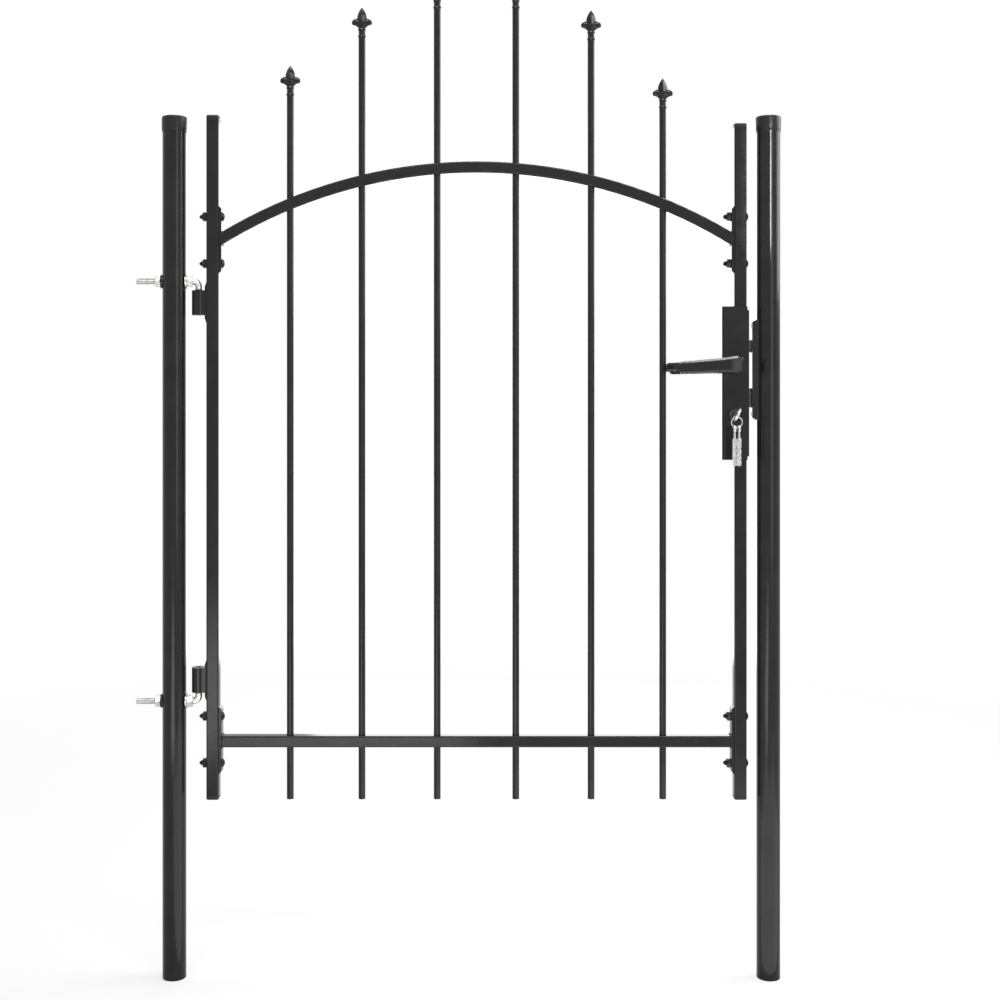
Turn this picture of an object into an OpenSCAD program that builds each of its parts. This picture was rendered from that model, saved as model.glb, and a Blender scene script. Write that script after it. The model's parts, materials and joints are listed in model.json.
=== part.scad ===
// Arched garden gate: one leaf of square tube and round bars, hung on hook bolts
// between two round posts, with a lever lock and its keys. All sizes in millimetres.
// The origin is the centre of the hinge post's foot. +X runs to the latch post, +Z is up,
// and the front of the gate faces -Y.

/* [Posts] */
// Height of a post with its cap
post_h = 1250; // [1150:5:1500]
// Outside diameter of a post tube
post_d = 34; // [30:0.5:40]
// Wall of a post tube
post_wall = 1.5; // [1:0.1:3]
// Height of a post cap
cap_h = 23; // [15:1:40]
// Wall of a post cap
cap_wall = 1.1; // [0.8:0.1:2]

/* [Leaf frame] */
// Width of the leaf over its stiles
leaf_w = 782.5; // [650:0.5:950]
// Height of the leaf's foot above the foot of the posts
leaf_z = 259; // [200:1:300]
// Height of the lock stile with its plugs
stile_h = 980; // [950:5:1100]
// Height by which the hinge stile stands above the lock stile
hinge_stile_over = 12; // [0:1:30]
// Width of a stile's square tube
stile_w = 18; // [16:0.5:22]
// Width of a rail's square tube
rail_w = 16.5; // [14:0.5:20]
// Wall of the square tubes
tube_wall = 1.5; // [1:0.1:2]
// Height of the bottom rail's centre above the leaf's foot
bottom_rail_h = 84; // [70:1:100]
// Height of the arch's ends above the leaf's foot
arch_end_h = 813; // [800:1:850]
// Rise of the arch above its ends
arch_rise = 103.5; // [60:0.5:150]
// Height of an end plate
plate_h = 98; // [90:1:110]
// Thickness of an end plate
plate_t = 4; // [3:0.5:6]
// Depth of an end plate
plate_d = 16.5; // [15:0.5:17.5]
// Distance between the two bolts of an end plate
bolt_pitch = 68; // [60:1:75]
// Diameter of the rail bolts
bolt_d = 8; // [6:1:8]

/* [Pickets] */
// Diameter of a picket bar
picket_d = 10; // [8:0.5:11]
// Height of the two middle finial tips above the leaf's foot
inner_tip_h = 1190; // [1150:1:1300]
// Height of the fifth picket's finial tip above the leaf's foot
middle_tip_h = 1144; // [1100:1:1250]
// Height by which the second finial tip stands above the fifth
middle_tip_over = 4; // [0:0.5:20]
// Height of the sixth picket's finial tip above the leaf's foot
outer_tip_h = 1045; // [1000:1:1150]
// Height by which the first finial tip stands above the sixth
outer_tip_over = 18.5; // [0:0.5:30]
// Height of a finial from its collar to its tip
finial_h = 43; // [38:1:60]
// Width of a finial over its two petals
finial_w = 29.5; // [26:0.5:36]
// Width of a finial's bud
bud_w = 13.7; // [12:0.1:16]

/* [Hinges] */
// Distance from the hinge post's axis to the hinge pins' axis
hook_offset = 35.5; // [34:0.5:45]
// Height of the lower hook bolt above the leaf's foot
lower_hook_h = 142; // [136:1:200]
// Height of the upper hook bolt above the leaf's foot
upper_hook_h = 751; // [650:1:755]
// Diameter of a hook bolt
hook_d = 10; // [9:0.5:12]
// Distance from the hinge post's axis to a hook bolt's outer end
hook_tail = 55.5; // [50:0.5:80]
// Diameter of a hinge pin
pin_d = 8; // [6:0.5:8.5]
// Outside diameter of a hinge sleeve
sleeve_d = 20; // [16:0.5:22]
// Height of a hinge sleeve
sleeve_h = 36; // [25:1:50]
// Thickness of a sleeve's base plate
sleeve_plate_t = 2.25; // [2:0.25:4]

/* [Lock] */
// Width of the lock case
case_w = 36.5; // [34:0.5:45]
// Depth of the lock case
case_d = 28; // [26:0.5:36]
// Height of the lock case
case_h = 221.5; // [215:0.5:240]
// Height of the lock case's foot above the leaf's foot
case_lift = 492.5; // [450:0.5:500]
// Wall of the lock case
case_wall = 1.5; // [1:0.1:2.5]
// Thickness of the lock's faceplate
faceplate_t = 2.3; // [2:0.1:3]
// Distance from the leaf's edge to the axes of lever and cylinder
backset = 19; // [18:0.5:20]
// Height of the lever's axis above the lock case's foot
lever_lift = 136.5; // [130:0.5:140]
// Height of the cylinder's axis above the lock case's foot
cylinder_lift = 65.5; // [60:0.5:68]
// Height of the latch's centre above the lock case's foot
latch_lift = 164.5; // [160:0.5:170]
// Height of the deadbolt's centre above the lock case's foot
deadbolt_lift = 89.5; // [86:0.5:92]
// Length of a lever from its axis to its tip
lever_l = 101.5; // [90:0.5:130]
// Height of a lever at its hub
lever_h = 22.7; // [20:0.1:26]
// Thickness of a lever
lever_t = 11; // [9:0.5:14]
// Distance from the leaf's middle plane to a lever's middle plane
lever_reach = 48; // [45:1:60]
// Travel of the latch between the faceplate and the strike
latch_gap = 5.5; // [5:0.5:12]

/* [Strike] */
// Height of the strike
strike_h = 148; // [140:1:170]
// Height of the strike's foot above the lock case's foot
strike_lift = 56; // [50:0.5:60]
// Width of the strike
strike_w = 16; // [16:0.5:28]
// Thickness of the strike's sheet
strike_t = 2.5; // [2:0.5:3.5]
// Distance from the strike's face to the latch post's near side
strike_standoff = 8; // [4:0.5:10]

/* [Hidden] */
round_fn = 64;
arch_fn = 480;
$fn = round_fn;

// Colours of the finishes
coat_colour = [0.16, 0.16, 0.16];
plastic_colour = [0.08, 0.08, 0.085];
zinc_colour = [0.75, 0.75, 0.72];
steel_colour = [0.82, 0.82, 0.83];

// One overrun for all cuts, and the clearances between pieces
over = 1;
fit = 0.1;
hole_clear = 0.2;
bolt_clear = 0.25;
run_clear = 0.3;

// Square tubes
tube_inner_r = 0.6;
tube_r = tube_inner_r + tube_wall;
plug_head_h = 6;
plug_stem_h = 12;
plug_bevel = 1.5;

// Places across the gate
hinge_x = hook_offset;
leaf_x0 = hinge_x + sleeve_d / 2 + sleeve_plate_t;
leaf_x1 = leaf_x0 + leaf_w;
leaf_xc = (leaf_x0 + leaf_x1) / 2;
hinge_stile_x = leaf_x0 + stile_w / 2;
lock_stile_x = leaf_x1 - stile_w / 2;
clear_half = leaf_w / 2 - stile_w;
rail_half = clear_half - plate_t;
strike_x = leaf_x1 + faceplate_t + latch_gap;
latch_post_x = strike_x + strike_standoff + post_d / 2;

// Post caps
cap_top_t = 2;
cap_lip_h = 3.2;
cap_lip_share = 0.4;
post_tube_h = post_h - cap_top_t;

// Nuts and bolts of the end plates
plate_bevel_share = 0.1;
arch_plate_drop = 2;
bottom_plate_rise = 2;
bolt_head_d = 14.5;
bolt_head_h = 4;
nut_across = 13;
nut_t = 6.5;
bolt_tail = 5.5;
bolt_point = 2.5;
bolt_grip = stile_w + plate_t;

// Hook bolts, their washers and nuts
hook_bend = 7.6;
hook_shoulder = 13;
pin_short = 3;
pin_bevel = 1;
pin_clear = 0.25;
saddle_d = 20;
saddle_t = 2;
washer_d = 21;
washer_t = 2.5;
washer_x = post_d / 2 + fit / 2;
hook_nut_across = 16;
hook_nut_t = 8;
sleeve_plate_over = 11;
sleeve_plate_d = 16;
sleeve_plate_bevel = 6;

// Heights. The upper hook stays below the caps, so posts too short for the leaf lower it.
// The upper sleeve stays below the nuts of the arch, so a higher upper hook lifts the arch,
// the stiles' tops and the pickets
part_clear = 1;
leaf_foot = min(leaf_z, post_h - cap_h - part_clear - saddle_d / 2 - upper_hook_h);
sleeve_top = upper_hook_h - hook_shoulder + sleeve_plate_over;
lowest_nut = arch_end_h - arch_plate_drop - bolt_pitch / 2 - nut_across / 2 / cos(30);
top_lift = max(0, sleeve_top + part_clear - lowest_nut);
tube_z0 = leaf_foot + plug_head_h;
lock_stile_top = leaf_foot + stile_h + top_lift;
hinge_stile_top = lock_stile_top + hinge_stile_over;
bottom_rail_z = leaf_foot + bottom_rail_h;
arch_end_z = leaf_foot + arch_end_h + top_lift;
bottom_plate_z = bottom_rail_z + bottom_plate_rise;
arch_plate_z = arch_end_z - arch_plate_drop;
case_z0 = leaf_foot + case_lift;
case_z1 = case_z0 + case_h;
lower_hook_z = leaf_foot + lower_hook_h;
upper_hook_z = leaf_foot + upper_hook_h;

// Arch of the top rail, from its half span and its rise
arch_r = (rail_half * rail_half + arch_rise * arch_rise) / (2 * arch_rise);
arch_centre_z = arch_end_z + arch_rise - arch_r;
arch_half_angle = asin(rail_half / (arch_r - rail_w));

bolt_places = [
    for (z = [arch_plate_z, bottom_plate_z], side = [-1, 1]) z + side * bolt_pitch / 2
];

// Pickets from left to right: place as a share of half the clear width, and tip height
picket_shares = [-0.725, -0.446, -0.153, 0.153, 0.446, 0.725];
tip_heights = [
    outer_tip_h + outer_tip_over, middle_tip_h + middle_tip_over, inner_tip_h,
    inner_tip_h, middle_tip_h, outer_tip_h
];
function picket_x(i) = leaf_xc + picket_shares[i] * clear_half;
function picket_top(i) = leaf_foot + tip_heights[i] + top_lift - finial_h;

// Finial: bud, petals and collar, as shares of its height and width
bud_h_share = 0.6;
collar_share = 0.29;
ring_share = 0.07;
petal_z_share = 0.49;
petal_curl_share = 0.105;
petal_wire_share = 0.175;
petal_t_share = 0.4;
neck_share = 0.33;
bud_h = finial_h * bud_h_share;
collar_h = finial_h * collar_share;
ring_h = finial_h * ring_share;
collar_d = picket_d + 2 * hole_clear;
ring_d = collar_d + ring_h / 2;
petal_curl = finial_w * petal_curl_share;
petal_wire = finial_w * petal_wire_share;
petal_x = finial_w / 2 - petal_curl - petal_wire / 2;
petal_z = finial_h * petal_z_share;
petal_t = bud_w * petal_t_share;
neck_w = finial_w * neck_share;
petal_start = 215;
petal_turn = 235;

// Lock: axes and the pieces on them
lock_x = leaf_x1 - backset;
lever_z = case_z0 + lever_lift;
cylinder_z = case_z0 + cylinder_lift;
latch_z = case_z0 + latch_lift;
deadbolt_z = case_z0 + deadbolt_lift;
case_fold_r = 3;
faceplate_inset = 5;
faceplate_d = case_d - 2 * case_wall;
rose_d = 23;
rose_t = 5;
neck_d = 16;
spindle_w = 8;
spindle_socket = 22;
latch_h = 17;
latch_d = 9;
deadbolt_h = 27;
bolt_body_l = 30;
bolt_short = 0.5;
cylinder_d = 17;
cylinder_past = 3;
cylinder_ring_d = 21;
cylinder_ring_t = 2;

// Lever stations: place along the lever, upper and lower edge, thickness
lever_shares = [
    [0.072, 0.5, 0.45, 0.55], [0.05, 0.93, 0.8, 0.85], [0, 1.12, 0.95, 1],
    [-0.24, 0.86, 0.94, 0.95], [-0.62, 0.54, 1.02, 0.88]
];
lever_tip_shares = [0.31, 1.08, 0.8];
lever_end_shares = [0.28, 0.76];
lever_inner_r = 1;
lever_return = 17;
lever_chamfer_share = 0.3;

// Key, ring and spare keys
key_t = 2.2;
key_lean = 25;
key_blade_w = 8;
key_blade_l = 26;
key_bow_d = 22;
key_neck_l = 6;
key_hole_d = 4.4;
key_hole_edge = 5;
key_hole_drop = 3.2;
ring_wire = 1.6;
ring_outer_d = 17;
spare_head_d = 11;
spare_rim = 1.6;
spare_neck_l = 5;
spare_l = 56;
spare_blade_w = 6;
spare_blade_t = 3;
spare_gap = 0.4;

// Strike and its slots
strike_z0 = case_z0 + strike_lift;
slot_clear = 0.75;
strike_bevel = 4.5;
screw_inset = 9.5;
screw_d = 4.2;
screw_head_d = 8.5;
screw_head_h = 0.4;
screw_in = 6;

// Helpers

// Turns a shape built up +Z so that it runs along +X
module along_x() {
    rotate([0, 90, 0]) children();
}

// Extrudes an outline drawn in X and Z along Y, centred on the leaf's middle plane
module front_extrude(depth) {
    translate([0, depth / 2, 0]) rotate([90, 0, 0]) linear_extrude(depth) children();
}

// Box from its centre in X and Y, standing on z
module post_box(size, x, z) {
    translate([x - size[0] / 2, -size[1] / 2, z]) cube(size);
}

module rounded_square(w, r) {
    flat = w - 2 * r;
    square([w, flat], center = true);
    square([flat, w], center = true);
    for (x = [-1, 1], y = [-1, 1]) translate([x, y] * flat / 2) circle(r, $fn = round_fn);
}

module tube_outline(w) {
    difference() {
        rounded_square(w, tube_r);
        rounded_square(w - 2 * tube_wall, tube_inner_r);
    }
}

// Low dome on the ground plane
module dome(d, h) {
    r = (d * d / 4 + h * h) / (2 * h);
    rotate_extrude() intersection() {
        translate([0, h - r]) circle(r);
        square([d / 2, h]);
    }
}

module hex_nut(across, t, bore) {
    difference() {
        cylinder(d = across / cos(30), h = t, $fn = 6);
        translate([0, 0, -over]) cylinder(d = bore, h = t + 2 * over);
    }
}

// Pointed leaf outline of two arcs, centred on the origin
module leaf_outline(w, h) {
    r = (h * h + w * w) / (4 * w);
    intersection_for (side = [-1, 1]) translate([side * (r - w / 2), 0]) circle(r);
}

// Solid through a list of rings with the same number of points
module loft(rings) {
    n = len(rings[0]);
    last = len(rings) - 1;
    sides = [
        for (i = [0:last - 1], j = [0:n - 1])
            let (k = (j + 1) % n)
            each [
                [i * n + j, (i + 1) * n + j, i * n + k],
                [i * n + k, (i + 1) * n + j, (i + 1) * n + k]
            ]
    ];
    near_cap = [[for (j = [0:n - 1]) j]];
    far_cap = [[for (j = [n - 1:-1:0]) last * n + j]];
    polyhedron([for (ring = rings) each ring], concat(sides, near_cap, far_cap));
}

// Posts

module post_tube() {
    difference() {
        cylinder(d = post_d, h = post_tube_h);
        translate([0, 0, -over]) cylinder(d = post_d - 2 * post_wall, h = post_tube_h + 2 * over);
    }
}

module hinge_post() {
    bore = hook_d + 2 * bolt_clear;
    color(coat_colour) difference() {
        post_tube();
        for (z = [lower_hook_z, upper_hook_z])
            translate([-post_d / 2 - over, 0, z]) along_x() cylinder(d = bore, h = post_d + 2 * over);
    }
}

module latch_post() {
    color(coat_colour) difference() {
        translate([latch_post_x, 0, 0]) post_tube();
        bolt_slots(latch_post_x - post_d / 2 - over, post_d / 2 + over);
        screw_holes(screw_d);
    }
}

// Push-on cap with an eased rim and a lip drawn in at its foot
module post_cap(x) {
    bore_r = post_d / 2 + fit;
    outer_r = bore_r + cap_wall;
    edge_r = cap_wall + cap_top_t / 2;
    color(plastic_colour) translate([x, 0, post_h - cap_h]) difference() {
        rotate_extrude() {
            polygon([
                [0, 0],
                [bore_r + cap_wall * cap_lip_share, 0],
                [outer_r, cap_lip_h],
                [outer_r, cap_h - edge_r],
                [0, cap_h - edge_r]
            ]);
            square([outer_r - edge_r, cap_h]);
            translate([outer_r - edge_r, cap_h - edge_r]) intersection() {
                circle(edge_r);
                square(edge_r);
            }
        }
        translate([0, 0, -over]) cylinder(r = bore_r, h = cap_h - cap_top_t + over);
    }
}

// Hinges

// Hook bolt with its pin turned up (turn = 1) or down (turn = -1)
module hinge_hook(z, turn) {
    bend_x = hinge_x - hook_bend;
    pin_l = sleeve_h - pin_short + run_clear;
    stub_l = hook_shoulder - hook_bend - run_clear;
    color(zinc_colour) translate([0, 0, z]) mirror([0, 0, turn < 0 ? 1 : 0]) {
        translate([-hook_tail, 0, 0]) along_x() cylinder(d = hook_d, h = hook_tail + bend_x);
        translate([bend_x, 0, hook_bend]) rotate([90, 0, 0]) rotate([0, 0, -90])
            rotate_extrude(angle = 90) translate([hook_bend, 0]) circle(d = hook_d);
        translate([hinge_x, 0, hook_bend]) cylinder(d = hook_d, h = stub_l);
        translate([hinge_x, 0, hook_bend + stub_l]) {
            cylinder(d = pin_d, h = pin_l - pin_bevel);
            translate([0, 0, pin_l - pin_bevel])
                cylinder(d1 = pin_d, d2 = pin_d - 2 * pin_bevel, h = pin_bevel);
        }
    }
}

// Plastic washers outside, hollowed to sit on the round post
module hinge_saddles() {
    outer = post_d / 2 + saddle_t;
    bore = hook_d + 2 * bolt_clear;
    color(plastic_colour) for (z = [lower_hook_z, upper_hook_z]) mirror([1, 0, 0]) difference() {
        translate([0, 0, z]) along_x() cylinder(d = saddle_d, h = outer);
        translate([0, 0, z]) along_x() translate([0, 0, -over]) cylinder(d = bore, h = outer + 2 * over);
        translate([0, 0, z - saddle_d]) cylinder(r = post_d / 2 + fit / 2, h = 2 * saddle_d);
    }
}

// Flat washers on the side of the leaf
module hinge_washers() {
    bore = hook_d + 2 * bolt_clear;
    color(zinc_colour) for (z = [lower_hook_z, upper_hook_z])
        translate([washer_x, 0, z]) along_x() difference() {
            cylinder(d = washer_d, h = washer_t);
            translate([0, 0, -over]) cylinder(d = bore, h = washer_t + 2 * over);
        }
}

module hinge_nuts() {
    bore = hook_d + fit;
    color(zinc_colour) for (z = [lower_hook_z, upper_hook_z]) {
        translate([washer_x + washer_t, 0, z]) along_x() hex_nut(hook_nut_across, hook_nut_t, bore);
        translate([-post_d / 2 - saddle_t - hook_nut_t, 0, z]) along_x()
            hex_nut(hook_nut_across, hook_nut_t, bore);
    }
}

// Sleeve and base plate on the hinge stile; turn = 1 above its hook, -1 below
module hinge_sleeve(z, turn) {
    web_x = sleeve_d / 2 + sleeve_plate_t;
    color(coat_colour) translate([hinge_x, 0, z]) mirror([0, 0, turn < 0 ? 1 : 0])
        translate([0, 0, hook_shoulder]) difference() {
            union() {
                cylinder(d = sleeve_d, h = sleeve_h);
                translate([0, -sleeve_plate_d / 2, 0]) cube([web_x, sleeve_plate_d, sleeve_h]);
                front_extrude(sleeve_plate_d) polygon([
                    [web_x, -sleeve_plate_over],
                    [web_x, sleeve_h + sleeve_plate_over],
                    [sleeve_d / 2, sleeve_h + sleeve_plate_over - sleeve_plate_bevel],
                    [sleeve_d / 2, -sleeve_plate_over + sleeve_plate_bevel]
                ]);
            }
            translate([0, 0, -over]) cylinder(d = pin_d + 2 * pin_clear, h = sleeve_h + 2 * over);
        }
}

// Leaf frame

// Square tube standing between two heights, drilled for the rail bolts in it
module stile(x, z0, z1) {
    color(coat_colour) difference() {
        translate([x, 0, z0]) linear_extrude(z1 - z0) tube_outline(stile_w);
        for (z = bolt_places) if (z > z0 && z < z1)
            translate([x - stile_w / 2 - over, 0, z]) along_x()
                cylinder(d = bolt_d + 2 * bolt_clear, h = stile_w + 2 * over);
    }
}

module stile_plug(x, z, up) {
    stem_w = stile_w - 2 * tube_wall - 2 * fit;
    translate([x, 0, z]) mirror([0, 0, up ? 0 : 1]) {
        linear_extrude(plug_head_h - plug_bevel) rounded_square(stile_w, tube_r);
        translate([0, 0, plug_head_h - plug_bevel])
            linear_extrude(plug_bevel) rounded_square(stile_w - 2 * plug_bevel, tube_inner_r);
        translate([0, 0, -plug_stem_h]) linear_extrude(plug_stem_h) rounded_square(stem_w, tube_inner_r);
    }
}

module stile_plugs() {
    stiles = [[hinge_stile_x, hinge_stile_top], [lock_stile_x, lock_stile_top]];
    color(plastic_colour) for (stile = stiles) {
        stile_plug(stile[0], stile[1] - plug_head_h, true);
        stile_plug(stile[0], tube_z0, false);
    }
}

module picket_holes(z0, z1) {
    for (i = [0:len(picket_shares) - 1])
        translate([picket_x(i), 0, z0]) cylinder(d = picket_d + 2 * hole_clear, h = z1 - z0);
}

// Square tube bent to an arc and cut off upright at the end plates
module arch_rail() {
    top_z = arch_end_z + arch_rise + rail_w;
    low_z = arch_end_z - rail_w;
    color(coat_colour) difference() {
        intersection() {
            translate([leaf_xc, 0, arch_centre_z]) rotate([90, 0, 0]) rotate([0, 0, 90 - arch_half_angle])
                rotate_extrude(angle = 2 * arch_half_angle, $fn = arch_fn)
                    translate([arch_r, 0]) tube_outline(rail_w);
            post_box([2 * rail_half, 2 * rail_w, top_z - low_z], leaf_xc, low_z);
        }
        picket_holes(low_z, top_z);
    }
}

module bottom_rail() {
    color(coat_colour) difference() {
        translate([leaf_xc - rail_half, 0, bottom_rail_z]) along_x()
            linear_extrude(2 * rail_half) tube_outline(rail_w);
        picket_holes(bottom_rail_z - rail_w, bottom_rail_z + rail_w);
    }
}

// Two drilled plates with bevelled ends, one against each stile
module end_plates(z) {
    bevel = plate_h * plate_bevel_share;
    color(coat_colour) for (side = [0, 1])
        translate([leaf_xc, 0, z]) mirror([side, 0, 0]) difference() {
            front_extrude(plate_d) polygon([
                [clear_half, -plate_h / 2],
                [clear_half, plate_h / 2],
                [rail_half, plate_h / 2 - bevel],
                [rail_half, -plate_h / 2 + bevel]
            ]);
            for (end = [-1, 1])
                translate([rail_half - over, 0, end * bolt_pitch / 2]) along_x()
                    cylinder(d = bolt_d + 2 * bolt_clear, h = plate_t + 2 * over);
        }
}

// Bolt with a domed head at x, its shank running to -X through a stile and an end plate
module rail_bolt(x, z) {
    shank_l = bolt_grip + nut_t + bolt_tail - bolt_point;
    translate([x, 0, z]) {
        along_x() dome(bolt_head_d, bolt_head_h);
        translate([-shank_l, 0, 0]) along_x() cylinder(d = bolt_d, h = shank_l);
        translate([-shank_l - bolt_point, 0, 0]) along_x()
            cylinder(d1 = bolt_d - bolt_point, d2 = bolt_d, h = bolt_point);
    }
}

module rail_bolts() {
    color(coat_colour) for (z = bolt_places, x = [leaf_x0 + bolt_grip, leaf_x1]) rail_bolt(x, z);
}

module rail_nuts() {
    color(coat_colour) for (z = bolt_places, x = [leaf_x0, leaf_x1 - bolt_grip])
        translate([x - nut_t, 0, z]) along_x() hex_nut(nut_across, nut_t, bolt_d + fit);
}

// Pickets and finials

module picket(i) {
    color(coat_colour) translate([picket_x(i), 0, leaf_foot])
        cylinder(d = picket_d, h = picket_top(i) - leaf_foot);
}

// Four-sided bud: two crossed extrusions of one pointed outline
module finial_bud() {
    translate([0, 0, finial_h - bud_h / 2]) intersection_for (turn = [-45, 45])
        rotate([0, 0, turn]) front_extrude(2 * bud_w) leaf_outline(bud_w / sqrt(2), bud_h);
}

// Petal that leaves the neck, arches out and curls down to a round tip
module finial_petal() {
    translate([petal_x, 0, petal_z]) {
        rotate([90, 0, 0]) rotate([0, 0, petal_start - petal_turn])
            rotate_extrude(angle = petal_turn) translate([petal_curl, 0]) circle(d = petal_wire);
        rotate([0, petal_turn - petal_start, 0]) translate([petal_curl, 0, 0]) sphere(d = petal_wire);
    }
}

module finial(i) {
    base = collar_h + ring_h / 2;
    color(coat_colour) translate([picket_x(i), 0, picket_top(i)]) {
        finial_bud();
        for (side = [0, 1]) mirror([side, 0, 0]) finial_petal();
        front_extrude(petal_t) polygon([
            [-neck_w / 2, base - ring_h],
            [neck_w / 2, base - ring_h],
            [neck_w / 2, base],
            [petal_x, petal_z - petal_curl],
            [petal_x - petal_curl, petal_z],
            [petal_curl - petal_x, petal_z],
            [-petal_x, petal_z - petal_curl],
            [-neck_w / 2, base]
        ]);
        rotate_extrude() {
            square([collar_d / 2, collar_h]);
            for (z = [ring_h / 2, collar_h])
                translate([ring_d / 2 - ring_h / 2, z]) circle(d = ring_h);
        }
    }
}

// Lock

// Openings for the latch and the deadbolt through what lies between x and x + l
module bolt_slots(x, l) {
    w = latch_d + 2 * slot_clear;
    for (slot = [[latch_z, latch_h], [deadbolt_z, deadbolt_h]])
        translate([x, -w / 2, slot[0] - slot[1] / 2 - slot_clear]) cube([l, w, slot[1] + 2 * slot_clear]);
}

// Plan of the case: square on the leaf's edge, with two folds of radius r at its back
module case_plan(w, d, r) {
    translate([r, -d / 2]) square([w - r, d]);
    translate([0, r - d / 2]) square([w, d - 2 * r]);
    for (y = [-1, 1]) translate([r, y * (d / 2 - r)]) circle(r);
}

module lock_case() {
    back_x = leaf_x1 - case_w;
    cut = case_d + 2 * over;
    color(coat_colour) difference() {
        translate([back_x, 0, case_z0]) linear_extrude(case_h) case_plan(case_w, case_d, case_fold_r);
        translate([back_x + case_wall, 0, case_z0 + case_wall]) linear_extrude(case_h - 2 * case_wall)
            case_plan(case_w, case_d - 2 * case_wall, case_fold_r - case_wall);
        translate([lock_x, 0, lever_z]) front_extrude(cut) circle(d = neck_d + 2 * run_clear);
        translate([lock_x, 0, cylinder_z]) front_extrude(cut) circle(d = cylinder_d + 2 * hole_clear);
    }
}

module lock_faceplate() {
    h = case_h - 2 * faceplate_inset;
    color(coat_colour) difference() {
        post_box([faceplate_t, case_d, h], leaf_x1 + faceplate_t / 2, case_z0 + faceplate_inset);
        bolt_slots(leaf_x1 - over, faceplate_t + 2 * over);
    }
}

module lever_roses() {
    color(coat_colour) for (side = [0, 1])
        translate([lock_x, 0, lever_z]) mirror([0, side, 0]) translate([0, -case_d / 2, 0]) rotate([90, 0, 0])
            difference() {
                cylinder(d = rose_d, h = rose_t);
                translate([0, 0, -over]) cylinder(d = neck_d + 2 * run_clear, h = rose_t + 2 * over);
            }
}

module lock_cylinder() {
    slot_w = key_blade_w + 2 * hole_clear;
    slot_t = key_t + 2 * hole_clear;
    depth = case_d + 2 * cylinder_past;
    color(steel_colour) translate([lock_x, 0, cylinder_z]) difference() {
        front_extrude(depth) circle(d = cylinder_d);
        rotate([0, key_lean, 0]) translate([-slot_t / 2, -depth / 2 - over, -slot_w / 2])
            cube([slot_t, key_blade_l + over + hole_clear, slot_w]);
    }
}

module cylinder_rings() {
    color(coat_colour) for (side = [0, 1])
        translate([lock_x, 0, cylinder_z]) mirror([0, side, 0]) translate([0, -case_d / 2, 0])
            rotate([90, 0, 0]) linear_extrude(cylinder_ring_t) difference() {
                circle(d = cylinder_ring_d);
                circle(d = cylinder_d + 2 * hole_clear);
            }
}

// Key in the cylinder, its flat bow standing out to the front
module key() {
    face_y = -case_d / 2 - cylinder_past;
    bow_y = face_y - key_neck_l - key_bow_d / 2;
    hole_y = bow_y - key_bow_d / 2 + key_hole_edge;
    color(steel_colour) translate([lock_x, 0, cylinder_z]) rotate([0, key_lean, 0]) difference() {
        union() {
            translate([-key_t / 2, bow_y, -key_blade_w / 2])
                cube([key_t, face_y + key_blade_l - bow_y, key_blade_w]);
            translate([-key_t / 2, bow_y, 0]) along_x() cylinder(d = key_bow_d, h = key_t);
        }
        translate([-key_t / 2 - over, hole_y, -key_hole_drop]) along_x()
            cylinder(d = key_hole_d, h = key_t + 2 * over);
    }
}

// Height of a ring's wire above its centre at a distance from its middle,
// and half the wire measured upright there
function ring_rise(x) = sqrt(ring_r * ring_r - x * x);
function wire_rise(x) = ring_wire / 2 * ring_r / ring_rise(x);

// Centre of the ring: it hangs on the higher edge of the leaning key's hole
ring_r = (ring_outer_d - ring_wire) / 2;
hole_low_x = key_t / 2 * cos(key_lean) + key_hole_d / 2 * sin(key_lean);
hole_low_z = key_t / 2 * sin(key_lean) - key_hole_d / 2 * cos(key_lean);
ring_x = lock_x - key_hole_drop * sin(key_lean);
ring_y = -case_d / 2 - cylinder_past - key_neck_l - key_bow_d + key_hole_edge;
ring_z = cylinder_z - key_hole_drop * cos(key_lean) + hole_low_z + hole_clear + wire_rise(hole_low_x)
    - ring_rise(hole_low_x);

module key_ring() {
    color(steel_colour) translate([ring_x, ring_y, ring_z]) rotate([90, 0, 0])
        rotate_extrude() translate([ring_r, 0]) circle(d = ring_wire);
}

// Two keys hanging from the ring: a round flat head seen on edge, a neck and a broad blade
module spare_keys() {
    place_x = (spare_blade_w + spare_gap) / 2;
    edge_x = place_x + key_t / 2;
    hole_up = spare_head_d / 2 - key_hole_d / 2 - spare_rim;
    head_z = ring_z - ring_rise(edge_x) + wire_rise(edge_x) + hole_clear - key_hole_d / 2 - hole_up;
    shoulder = spare_head_d / 2 + spare_neck_l;
    foot = spare_l - spare_head_d / 2 - spare_blade_w / 2;
    neck_w = key_t - 2 * fit;
    color(steel_colour) for (side = [-1, 1])
        translate([ring_x + side * place_x, ring_y, head_z]) difference() {
            union() {
                translate([-key_t / 2, 0, 0]) along_x() cylinder(d = spare_head_d, h = key_t);
                front_extrude(spare_blade_t) {
                    translate([-neck_w / 2, -shoulder - fit]) square([neck_w, shoulder]);
                    translate([-spare_blade_w / 2, -foot]) square([spare_blade_w, foot - shoulder]);
                    translate([0, -foot]) circle(d = spare_blade_w);
                }
            }
            translate([-key_t, 0, hole_up]) along_x() cylinder(d = key_hole_d, h = 2 * key_t);
        }
}

// Eight-sided ring across the lever at a plan place, looking along a plan heading
function lever_ring(place, heading, top, low, half_t) =
    let (c = half_t * lever_chamfer_share * 2)
    [
        for (p = [
            [half_t, low + c], [half_t, top - c], [half_t - c, top], [c - half_t, top],
            [-half_t, top - c], [-half_t, low + c], [c - half_t, low], [half_t - c, low]
        ])
            [place[0] - p[0] * sin(heading), place[1] + p[0] * cos(heading), p[1]]
    ];

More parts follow.
